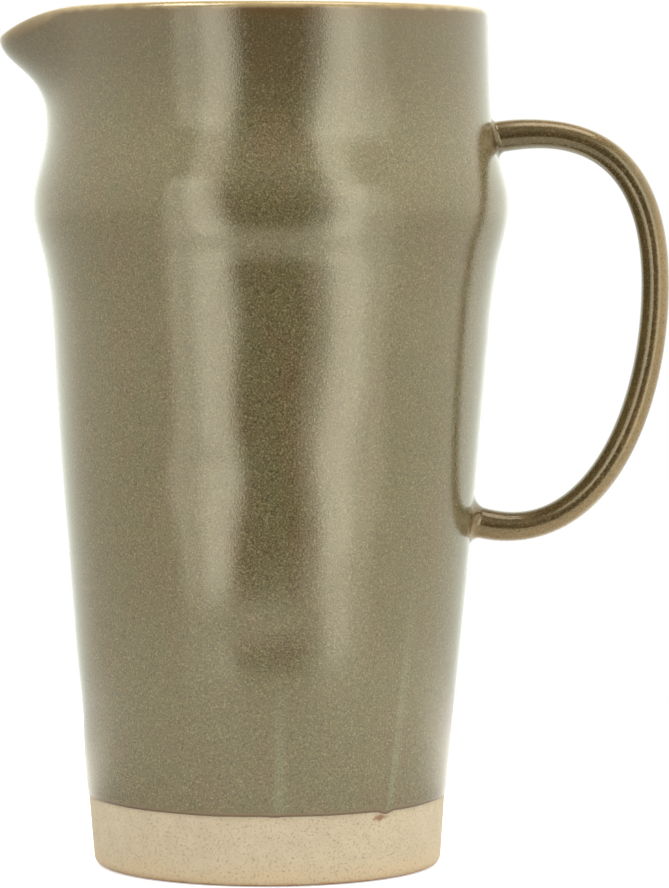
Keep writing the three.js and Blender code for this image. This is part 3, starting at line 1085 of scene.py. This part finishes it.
@dataclass
class Pot:
    """The thrown pot and the two coats on it.

    Attributes:
        form: The finished surface.
        runs: Streaks in the outer coat.
        glaze: Thickness of a coat.
        coat_gap: Clearance between a coat and the clay.
        edge_thin: How much thinner the outer coat is at its lower edge.
        thin_reach: How far up it is thinner.
        wander: How far the coat's lower edge strays up and down.
        waves: The waves that it strays in: each one's share, its count round the pot and where it starts.
        stray_reach: How far up the straying is felt.
        around: Steps round the pot.
        fine: Distance between rings where a surface shows.
        coarse: Distance between rings where it doesn't.
        arc_steps: Steps round a rounding.
        edge_rings: Rings above the coat's lower edge.
    """

    form: ThrownForm
    runs: tuple[GlazeRun, ...] = RUNS
    glaze: float = 0.4 * MM
    coat_gap: float = 0.1 * MM
    edge_thin: float = 0.2 * MM
    thin_reach: float = 1.5 * MM
    wander: float = 0.22 * MM
    waves: tuple[tuple[float, int, float], ...] = ((0.5, 2, 0.6), (0.3, 5, 2.1), (0.2, 11, 0.0))
    stray_reach: float = 2.4 * MM
    around: int = 384
    fine: float = 2 * MM
    coarse: float = 5 * MM
    arc_steps: int = 12
    edge_rings: tuple[float, ...] = (0.2 * MM, 0.4 * MM, 0.7 * MM, 1.1 * MM, 1.7 * MM, 2.6 * MM, 4 * MM)

    def build(self) -> None:
        """Builds and dresses the clay and its coats."""
        clay = turned(self.clay_outline(), self.around, ring=False)
        self.work(clay)
        finished("thrown_clay", clay, Node.CLAY, BareClay())
        coat = turned(self.outer_outline(), self.around, ring=True)
        self.mark_heights(coat)
        self.run_down(coat)
        self.work(coat)
        body_glaze = BodyGlaze("olive_satin_glaze", form=self.form, runs=self.runs)
        finished("olive_coat", coat, Node.OUTER_GLAZE, body_glaze)
        lining = turned(self.inner_outline(), self.around, ring=False)
        self.work(lining)
        finished("lining_coat", lining, Node.INNER_GLAZE, SatinGlaze("lining_satin_glaze"))

    def outside(self, depth: float, bottom: float, step: float) -> Outline:
        """Up the outside of the wall to the lip, at a depth under the finished surface."""
        rings = stepped(bottom, self.form.lip_height, step)
        return [Vector((self.form.outside_radius(z) - depth, 0, z)) for z in rings]

    def lip_round(self, depth: float) -> Outline:
        """Over the lip from the outside to the inside, without the two ends."""
        middle = Vector((self.form.rim_radius - self.form.lip / 2, 0, self.form.lip_height))
        return arc(middle, self.form.lip / 2 - depth, 0, 180, self.arc_steps)[1:-1]

    def inside(self, depth: float, bottom: float, top: float, step: float) -> Outline:
        """Down the inside of the wall between two heights."""
        rings = reversed(stepped(bottom, top, step))
        return [Vector((self.form.inside_radius(z) + depth, 0, z)) for z in rings]

    def inner_floor(self, depth: float) -> Outline:
        """Goes from the wall round to the floor and in to the axis.

        Args:
            depth: How far under the finished surface.

        Returns:
            The points.
        """
        form = self.form
        height = form.floor + form.inner_round
        middle = Vector((form.inside_radius(height) - form.inner_round, 0, height))
        corner = arc(middle, form.inner_round + depth, 0, -90, self.arc_steps)[1:]
        level = spaced(corner[-1].x, 0, self.arc_steps)[1:]
        return corner + [Vector((x, 0, form.floor - depth)) for x in level]

    def clay_outline(self) -> Outline:
        """Draws the clay's section.

        Returns:
            The points, from the middle of the underside round to the middle of the floor.
        """
        form = self.form
        depth = self.glaze + self.coat_gap
        foot = Vector((form.outside_radius(form.foot_round) - depth - form.foot_round, 0, form.foot_round))
        corner = arc(foot, form.foot_round, -90, 0, self.arc_steps)
        under = [Vector((x, 0, 0)) for x in spaced(0, foot.x, self.arc_steps)[:-1]]
        return [
            *under,
            *corner[:-1],
            *self.outside(depth, form.foot_round, self.coarse),
            *self.lip_round(depth),
            *self.inside(depth, form.floor + form.inner_round, form.lip_height, self.coarse),
            *self.inner_floor(depth),
        ]

    def outer_outline(self) -> Outline:
        """Draws the outer coat's section.

        Returns:
            The points: round the lower edge, up the wall, over the lip, down inside, and back.
        """
        form = self.form
        edge_round = (self.glaze - self.edge_thin) / 2
        bottom = form.bare_band + edge_round
        edge = [self.edge_point(bottom, above) for above in self.edge_rings]
        middle = Vector((form.outside_radius(bottom) - self.glaze + edge_round, 0, bottom))
        start = bottom + self.edge_rings[-1] + self.fine / 2
        return [
            *arc(middle, edge_round, -180, 0, self.arc_steps // 2),
            *edge,
            *self.outside(0, start, self.fine),
            *self.lip_round(0),
            *self.inside(0, form.wrap_height, form.lip_height, self.fine),
            *reversed(self.inside(self.glaze, form.wrap_height, form.lip_height, self.fine)),
            *reversed(self.lip_round(self.glaze)),
            *reversed(self.outside(self.glaze, bottom, self.coarse)[1:]),
        ]

    def edge_point(self, bottom: float, above: float) -> Vector:
        """Finds a point on the outer coat's face near its lower edge, where it thins.

        Args:
            bottom: Height of the middle of the edge's rounding.
            above: Height above that.

        Returns:
            The point.
        """
        z = bottom + above
        thin = self.edge_thin * bell(above / self.thin_reach)
        return Vector((self.form.outside_radius(z) - thin, 0, z))

    def inner_outline(self) -> Outline:
        """Draws the inner coat's section.

        Returns:
            The points, from the floor up to the outer coat's edge and back under the coat.
        """
        form = self.form
        bottom = form.floor + form.inner_round
        face = self.inside(0, bottom, form.wrap_height, self.fine) + self.inner_floor(0)
        back = self.inside(self.glaze, bottom, form.wrap_height, self.coarse) + self.inner_floor(self.glaze)
        return [*reversed(face), *back]

    def mark_heights(self, bm: bmesh.types.BMesh) -> None:
        """Keeps each point's height on the turned form, which the glaze reads.

        Args:
            bm: The turned coat.
        """
        layer = bm.verts.layers.float.new(THROWN_HEIGHT)
        for vert in bm.verts:
            vert[layer] = vert.co.z

    def run_down(self, bm: bmesh.types.BMesh) -> None:
        """Lets the outer coat's edge stray and run.

        Args:
            bm: The turned coat.
        """
        form = self.form
        for vert in bm.verts:
            x, y, z = vert.co
            radius = vert.co.xy.length
            depth = form.outside_radius(z) - radius
            if z > form.lip_height or depth > 2 * self.glaze:
                continue
            turn = math.degrees(math.atan2(y, x))
            stray = self.wander * self.strays(math.radians(turn))
            swell = 0.0
            for run in self.runs:
                along = math.radians(away(turn, run.turn)) * radius - run.lean * (z - form.bare_band)
                streak = bell(along / run.width)
                stray -= run.drop * streak
                swell += run.thickness * streak * min(1, max(0, (run.top - z) / run.top))
            share = 1 + swell * (1 - depth / self.glaze) / radius
            drop = stray * bell((z - form.bare_band) / self.stray_reach)
            vert.co = Vector((x * share, y * share, z + drop))

    def strays(self, turn: float) -> float:
        """How far up or down the coat's edge strays, from -1 to 1."""
        return sum(share * math.sin(count * turn + start) for share, count, start in self.waves)

    def work(self, bm: bmesh.types.BMesh) -> None:
        """Pulls the spout and presses the dents."""
        for vert in bm.verts:
            vert.co = self.form.worked(vert.co)


@dataclass(frozen=True)
class Root:
    """Where the handle is luted on.

    Attributes:
        place: The middle of the rod on the finished wall.
        along: The way the rod leaves.
        curve: The middle of the rod, as a cubic curve from behind the wall to the crown of the loop.
    """

    place: Vector
    along: Vector
    curve: Curve


@dataclass(frozen=True)
class Slip:
    """How the slip is smoothed round a root.

    Attributes:
        flare: Its spread over the wall around the rod.
        sag: How much further it spreads below the rod than above it, halved.
        run_out: Its run out along the rod.
        lean: How much further it runs out above the rod than below it, halved.
    """

    flare: float
    sag: float
    run_out: float
    lean: float


@dataclass
class LoopHandle:
    """The pulled loop handle, its coat, and the slip that lutes it on.

    Attributes:
        form: The pot that it stands on.
        thickness: The rod in the plane of the loop.
        width: The rod across the loop.
        reach: Middle of the rod out from the waist at the crown.
        upper_drop: Upper root below the rim.
        span: Lower root below the upper one.
        crown_drop: Crown of the loop below the upper root.
        upper_arm: Pull of the curve out of the upper root, and its rise.
        crown_pull: Pull of the curve above and below the crown.
        lower_arm: Pull of the curve out of the lower root, and its rise.
        swell: How much stouter the rod is all round at its roots.
        swell_reach: How far out of the wall the swell is felt.
        upper_slip: The slip at the upper root.
        lower_slip: The slip at the lower root.
        tuck: End of the slip below the coat's face.
        root_sink: Start of the rod's curve behind the wall's surface.
        glaze: Thickness of the coat.
        coat_gap: Clearance between the coat and the clay.
        sides: Points round the rod.
        steps: Steps along each half of the rod.
        arc_steps: Steps round the slip's hollow.
        roots: The upper and the lower root.
    """

    form: ThrownForm
    thickness: float = 7.1 * MM
    width: float = 8.6 * MM
    reach: float = 42.4 * MM
    upper_drop: float = 32.6 * MM
    span: float = 98 * MM
    crown_drop: float = 37.6 * MM
    upper_arm: Span = (32.5 * MM, 7.4 * MM)
    crown_pull: Span = (28 * MM, 36 * MM)
    lower_arm: Span = (32.5 * MM, -14 * MM)
    swell: float = 0.45 * MM
    swell_reach: float = 8 * MM
    upper_slip: Slip = Slip(2.5 * MM, 0.7 * MM, 2.1 * MM, -0.5 * MM)
    lower_slip: Slip = Slip(3.0 * MM, -0.3 * MM, 3.2 * MM, 0.5 * MM)
    tuck: float = 0.04 * MM
    root_sink: float = 4 * MM
    glaze: float = 0.4 * MM
    coat_gap: float = 0.1 * MM
    sides: int = 40
    steps: int = 64
    arc_steps: int = 10
    roots: tuple[Root, Root] = field(init=False)

    def __post_init__(self) -> None:
        """Finds the two roots."""
        height = self.form.height - self.upper_drop
        above, below = self.crown_pull
        upper = self.root_at(height, *self.upper_arm, above)
        lower = self.root_at(height - self.span, *self.lower_arm, -below)
        self.roots = (upper, lower)

    def build(self) -> None:
        """Builds and dresses the rod, its coat and the two slip joints."""
        path = self.path()
        rod = lofted(self.rod(path, self.glaze + self.coat_gap), ring=False)
        finished("handle_rod", rod, Node.HANDLE, BareClay("rod_clay"))
        coat = lofted(self.rod(path, 0) + self.rod(path, self.glaze)[::-1], ring=True)
        self.mark_outward(coat)
        finished("handle_coat", coat, Node.HANDLE_GLAZE, HandleGlaze("golden_brown_glaze"))
        upper, lower = self.roots
        joints = (
            ("upper_slip", Node.UPPER_JOINT, upper, self.upper_slip),
            ("lower_slip", Node.LOWER_JOINT, lower, self.lower_slip),
        )
        for name, node, root, slip in joints:
            joint = lofted(self.fillet(root, slip), ring=True)
            self.mark_outward(joint)
            finished(name, joint, node, HandleGlaze("slip_satin_glaze"))

    def mark_outward(self, bm: bmesh.types.BMesh) -> None:
        """Keeps how far each point faces away from the middle of the loop, which the glaze reads.

        Args:
            bm: The coat or the slip.
        """
        upper, lower = self.roots
        middle = (upper.place + lower.place) / 2
        bm.normal_update()
        layer = bm.verts.layers.float.new(OUTWARD)
        for vert in bm.verts:
            vert[layer] = vert.normal.dot((vert.co - middle).normalized())

    def root_at(self, height: float, arm: float, lift: float, crown_pull: float) -> Root:
        """Finds a root of the handle.

        Args:
            height: Height of its middle on the wall.
            arm: Pull of the curve out of it.
            lift: The pull's rise.
            crown_pull: Pull of the curve up from the crown of the loop.

        Returns:
            The root.
        """
        pull = Vector((arm, 0, lift))
        along = pull.normalized()
        place = self.form.onto_wall(Vector((self.form.outside_radius(height), 0, height)), Vector((1, 0, 0)))
        start = place - along * self.root_sink
        crown_height = self.form.height - self.upper_drop - self.crown_drop
        crown = Vector((self.form.waist_radius + self.reach, 0, crown_height))
        return Root(place, along, (start, start + pull, crown + Vector((0, 0, crown_pull)), crown))

    def path(self) -> list[tuple[Vector, Vector]]:
        """Follows the middle of the rod from root to root.

        Returns:
            Places, each with the way on from it.
        """
        upper, lower = self.roots
        path = []
        for curve in (upper.curve, lower.curve[::-1]):
            shares = spaced(0, 1, self.steps)[1 if path else 0:]
            path += [(on_curve(curve, share), heading(curve, share)) for share in shares]
        return path

    def angles(self) -> list[float]:
        """The angles of the points round the rod."""
        return [math.tau * i / self.sides for i in range(self.sides)]

    def oval(self, place: Vector, along: Vector, margin: float, angle: float) -> Vector:
        """Finds a point on the rod's oval section.

        Args:
            place: The section's middle.
            along: The way the rod goes on.
            margin: How much the section is grown all round.
            angle: The angle round the section.

        Returns:
            The point.
        """
        across = Vector((0, 1, 0))
        wide, thick = self.width / 2 + margin, self.thickness / 2 + margin
        return place + across * wide * math.cos(angle) + along.cross(across) * thick * math.sin(angle)

    def rod(self, path: list[tuple[Vector, Vector]], depth: float) -> list[Outline]:
        """Draws the rod's sections.

        Args:
            path: The middle of the rod.
            depth: How far under the finished surface.

        Returns:
            A loop of points at each place on the path.
        """
        sections = []
        for place, along in path:
            margin = self.swelling(place) - depth
            sections.append([self.oval(place, along, margin, angle) for angle in self.angles()])
        return sections

    def swelling(self, place: Vector) -> float:
        """How much stouter the rod is at a place."""
        far = min((place - root.place).length for root in self.roots)
        return self.swell * bell(far / self.swell_reach)

    def beside(self, root: Root, angle: float, out: float, margin: float) -> Vector:
        """Finds a point beside the rod.

        Args:
            root: The root that it is near.
            angle: The angle round the rod.
            out: The distance out from the root.
            margin: The distance off the rod's surface.

        Returns:
            The point.
        """
        share = (self.root_sink + out) / (3 * (root.curve[1] - root.curve[0]).length)
        place = on_curve(root.curve, share)
        return self.oval(place, heading(root.curve, share), self.swelling(place) + margin, angle)

    def fillet(self, root: Root, slip: Slip) -> list[Outline]:
        """The slip's loops at a root, from the wall out along the rod and back inside the rod's coat."""
        lines = [self.fillet_line(root, slip, angle) for angle in self.angles()]
        return [list(ring) for ring in zip(*lines)]

    def fillet_line(self, root: Root, slip: Slip, angle: float) -> Outline:
        """Draws the slip's section.

        Args:
            root: Where the slip is.
            slip: How it is smoothed.
            angle: The angle round the rod.

        Returns:
            The points, from the wall out along the rod and back inside the rod's coat.
        """
        spread = self.beside(root, angle, 0, slip.flare) - Vector((0, 0, slip.sag))
        on_wall = self.form.onto_wall(spread, root.along)
        rod = self.beside(root, angle, 0, -self.tuck)
        wall = (self.form.onto_wall(rod, root.along) - rod).dot(root.along)
        end = wall + slip.run_out + slip.lean * math.sin(angle)
        away_from_rod = on_wall - root.along * self.coat_gap - self.beside(root, angle, wall, -self.tuck)
        line = []
        for sweep in spaced(0, math.pi / 2, self.arc_steps):
            out = lerp(end, wall, math.cos(sweep))
            line.append(self.beside(root, angle, out, -self.tuck) + away_from_rod * (1 - math.sin(sweep)))
        behind = root.along * self.root_sink / 2
        inside = (self.beside(root, angle, out, -self.glaze) for out in (end, -self.root_sink / 2))
        return [*line, *inside, on_wall - behind]


@dataclass(frozen=True)
class PaleFloor(Finish):
    """A matt floor that shows white where no shadow falls, and fades away towards its edge.

    Attributes:
        radius: Its radius.
        fade: Radius where it starts to fade away.
        drop: Its depth below the foot, so that the two don't meet.
        segments: Sides of its round edge.
        colour: Its colour.
        roughness: Its roughness.
        glow: What it adds to its colour to be white.
        shine: What it adds where the glaze mirrors it, from the left to the right.
        shine_out_of_painted_shadow: How that sets in with the distance from the middle: it is low near the
            foot, a painted shadow of the jug on the floor that the glaze mirrors.
        rear_in: Distance behind the jug over which its rear shine sets in.
        rear_shine: What more it adds there, by the distance from the middle.
        shine_tint: The colour of what it adds.
    """

    name: str = "pale_floor"
    radius: float = 0.365
    fade: float = 0.268
    drop: float = 0.1 * MM
    segments: int = 96
    colour: Colour = (0.82, 0.82, 0.81)
    roughness: float = 0.9
    glow: float = 0.5
    shine: Fade = Fade(0.04, 0.19, 0.0, 0.25)
    shine_out_of_painted_shadow: Fade = Fade(0.05, 0.24)
    rear_in: Span = (0.0, 0.1)
    rear_shine: Fade = Fade(0.3, 0.16, 0.0, 0.55)
    shine_tint: Colour = (1.0, 0.96, 0.86)

    def build(self) -> None:
        """Lays the floor."""
        bm = bmesh.new()
        bmesh.ops.create_circle(bm, cap_ends=True, segments=self.segments, radius=self.radius)
        bmesh.ops.translate(bm, verts=bm.verts[:], vec=(0, 0, -self.drop))
        mesh = bpy.data.meshes.new(self.name)
        bm.to_mesh(mesh)
        bm.free()
        floor = bpy.data.objects.new(self.name, mesh)
        bpy.context.scene.collection.objects.link(floor)
        mesh.materials.append(self.material())

    def shader(self, graph: Graph) -> dict[str, Value]:
        """Lifts the floor to white where the camera sees it, and adds shine where a gloss mirrors it.

        Args:
            graph: Where the nodes go.

        Returns:
            What goes into the shader's sockets at each place.
        """
        place = graph.xyz()
        far = graph.vector("LENGTH", graph.at)
        shine = graph.ramp(place["X"], *self.shine)
        # Painted shadow: the shine is kept low near the foot, where the jug shades the floor that the glaze
        # mirrors.
        shine = graph.math("MULTIPLY", shine, graph.ramp(far, *self.shine_out_of_painted_shadow))
        rear = graph.ramp(place["Y"], *self.rear_in, 0.0, graph.ramp(far, *self.rear_shine))
        seen, mirrored = graph.rays()
        shown = graph.math("MULTIPLY", mirrored, graph.math("ADD", shine, rear))
        return {
            "Base Color": (*self.colour, 1),
            "Roughness": self.roughness,
            "Specular IOR Level": 0.0,
            "Emission Color": graph.blend(seen, self.shine_tint, WHITE),
            "Emission Strength": graph.between(seen, shown, self.glow),
            "Alpha": graph.ramp(far, self.radius, self.fade),
        }


@dataclass(frozen=True)
class Surroundings:
    """What lies far round the jug: white to the camera, and toned where the glaze mirrors it.

    Where a tone sets in is given by a direction's part along X, Y or Z, from -1 to 1.

    Attributes:
        front: Brightness on the camera's side, along Z.
        below: Brightness past the floor's edge on that side.
        below_in: Where that sets in along Z.
        front_out: Where the camera's side gives way to the rest along Y.
        sides: Brightness from the left to the right, along X.
        behind: Brightness behind the jug.
        behind_in: Where that sets in along Y.
        lift: How much brighter all but the camera's side is, along Z.
        above: The same right above.
        above_in: Where that sets in along Z.
        tint: Colour in front and at the sides.
        tint_behind: Colour behind the jug.
        ambient: The light that they give, as a share of their brightness.
    """

    front: Fade = Fade(0.08, 0.4, 0.15, 0.42)
    below: float = 0.85
    below_in: Span = (-0.37, -0.47)
    front_out: Span = (-0.93, -0.5)
    sides: Fade = Fade(-1.0, 1.0, 0.95, 1.22)
    behind: float = 1.2
    behind_in: Span = (0.45, 0.92)
    lift: Fade = Fade(-0.18, 0.0, 0.98, 1.22)
    above: float = 0.4
    above_in: Span = (0.55, 0.8)
    tint: Colour = (1.03, 1.02, 0.95)
    tint_behind: Colour = (1.0, 1.05, 0.97)
    ambient: float = 0.7

    def build(self) -> None:
        """Makes the scene's world."""
        world = bpy.data.worlds.new("studio")
        world.use_nodes = True
        bpy.context.scene.world = world
        graph = Graph(world.node_tree, "Generated")
        toward = graph.xyz()
        tone = self.tone(graph, toward)
        seen, mirrored = graph.rays()
        light = graph.between(mirrored, graph.math("MULTIPLY", tone, self.ambient), tone)
        colour = graph.blend(graph.ramp(toward["Y"], *self.behind_in), self.tint, self.tint_behind)
        sockets = {"Color": graph.blend(seen, colour, WHITE), "Strength": graph.between(seen, light, 1.0)}
        graph.feed(world.node_tree.nodes["Background"], sockets)

    def tone(self, graph: Graph, toward: bpy.types.NodeOutputs) -> Socket:
        """Finds how bright the surroundings are.

        Args:
            graph: Where the nodes go.
            toward: The direction's parts along X, Y and Z.

        Returns:
            The brightness in that direction.
        """
        side = graph.ramp(toward["X"], *self.sides)
        lift = graph.ramp(toward["Z"], *self.above_in, graph.ramp(toward["Z"], *self.lift), self.above)
        back = graph.math("MULTIPLY", lift, graph.ramp(toward["Y"], *self.behind_in, side, self.behind))
        front = graph.ramp(toward["Z"], *self.below_in, graph.ramp(toward["Z"], *self.front), self.below)
        return graph.ramp(toward["Y"], *self.front_out, front, back)


@dataclass(frozen=True)
class Softbox:
    """A soft lamp that faces the jug.

    Attributes:
        name: The lamp's name.
        bearing: Degrees round from the camera's side, towards the handle.
        elevation: Degrees above the horizon.
        width: Its width.
        height: Its height.
        radiance: How bright its face is, where a lit white surface is about 1.
        distance: How far off it stands.
        lights: Whether it lights matt surfaces.
        shows: Whether it shows in the gloss.
    """

    name: str
    bearing: float
    elevation: float
    width: float
    height: float
    radiance: float
    distance: float = 1.2
    lights: bool = True
    shows: bool = True

    def build(self, target: Vector) -> None:
        """Sets the lamp up.

        Args:
            target: The point that it faces.
        """
        bearing, elevation = math.radians(self.bearing), math.radians(self.elevation)
        level = math.cos(elevation)
        way = Vector((math.sin(bearing) * level, -math.cos(bearing) * level, math.sin(elevation)))
        lamp = bpy.data.lights.new(self.name, "AREA")
        lamp.shape = "RECTANGLE"
        lamp.size, lamp.size_y = self.width, self.height
        lamp.energy = self.radiance * math.pi * self.width * self.height
        placed = bpy.data.objects.new(self.name, lamp)
        placed.location = target + way * self.distance
        placed.rotation_euler = (-way).to_track_quat("-Z", "Y").to_euler()
        placed.visible_camera = False
        placed.visible_diffuse = self.lights
        placed.visible_glossy = self.shows
        bpy.context.scene.collection.objects.link(placed)


@dataclass
class Studio:
    """The lamps, the white surroundings, the pale floor and the camera.

    Attributes:
        target: The point that the lamps face.
        eye: Where the camera stands.
        aim: The point that it looks at.
        lens: Its focal length in millimetres.
        sight: How far it sees.
        surroundings: The surroundings.
        floor: The floor.
        lamps: The lamps.
    """

    target: Vector = field(default_factory=lambda: Vector((0, 0, 0.11)))
    eye: Vector = field(default_factory=lambda: Vector((0.0168, -1.14, 0.175)))
    aim: Vector = field(default_factory=lambda: Vector((0.0168, 0, 0.1073)))
    lens: float = 180.9
    sight: float = 20
    surroundings: Surroundings = Surroundings()
    floor: PaleFloor = PaleFloor()
    lamps: tuple[Softbox, ...] = (
        Softbox("left_softbox", -26.2, 0, 0.412, 2.0, 1.4),
        Softbox("left_wide_softbox", -35.5, -10.4, 0.62, 1.7, 1.25, lights=False),
        Softbox("right_softbox", 40.5, 0, 0.36, 2.0, 1.7),
        Softbox("right_wide_softbox", 41, -10.4, 0.826, 1.7, 0.75, lights=False),
        Softbox("left_top_softbox", -62, 60, 0.6, 0.5, 7.0),
        Softbox("right_top_softbox", 85, 66, 1.0, 0.7, 5.2, shows=False),
        Softbox("top_softbox", 90, 75, 0.6, 0.6, 2.6, lights=False),
    )

    def build(self) -> None:
        """Sets everything up."""
        for lamp in self.lamps:
            lamp.build(self.target)
        self.surroundings.build()
        self.floor.build()
        self.set_camera()

    def set_camera(self) -> None:
        """Puts the camera at the photograph's viewing angle."""
        camera = bpy.data.cameras.new("camera")
        camera.lens = self.lens
        camera.clip_end = self.sight
        placed = bpy.data.objects.new("camera", camera)
        placed.location = self.eye
        placed.rotation_euler = (self.aim - self.eye).to_track_quat("-Z", "Y").to_euler()
        bpy.context.scene.collection.objects.link(placed)
        bpy.context.scene.camera = placed


def main() -> None:
    """Builds the jug and its studio."""
    logging.basicConfig(level=logging.INFO, format="%(message)s")
    bpy.context.scene.view_settings.view_transform = "Standard"
    form = ThrownForm()
    Studio().build()
    Pot(form).build()
    LoopHandle(form).build()


if __name__ == "__main__":
    main()
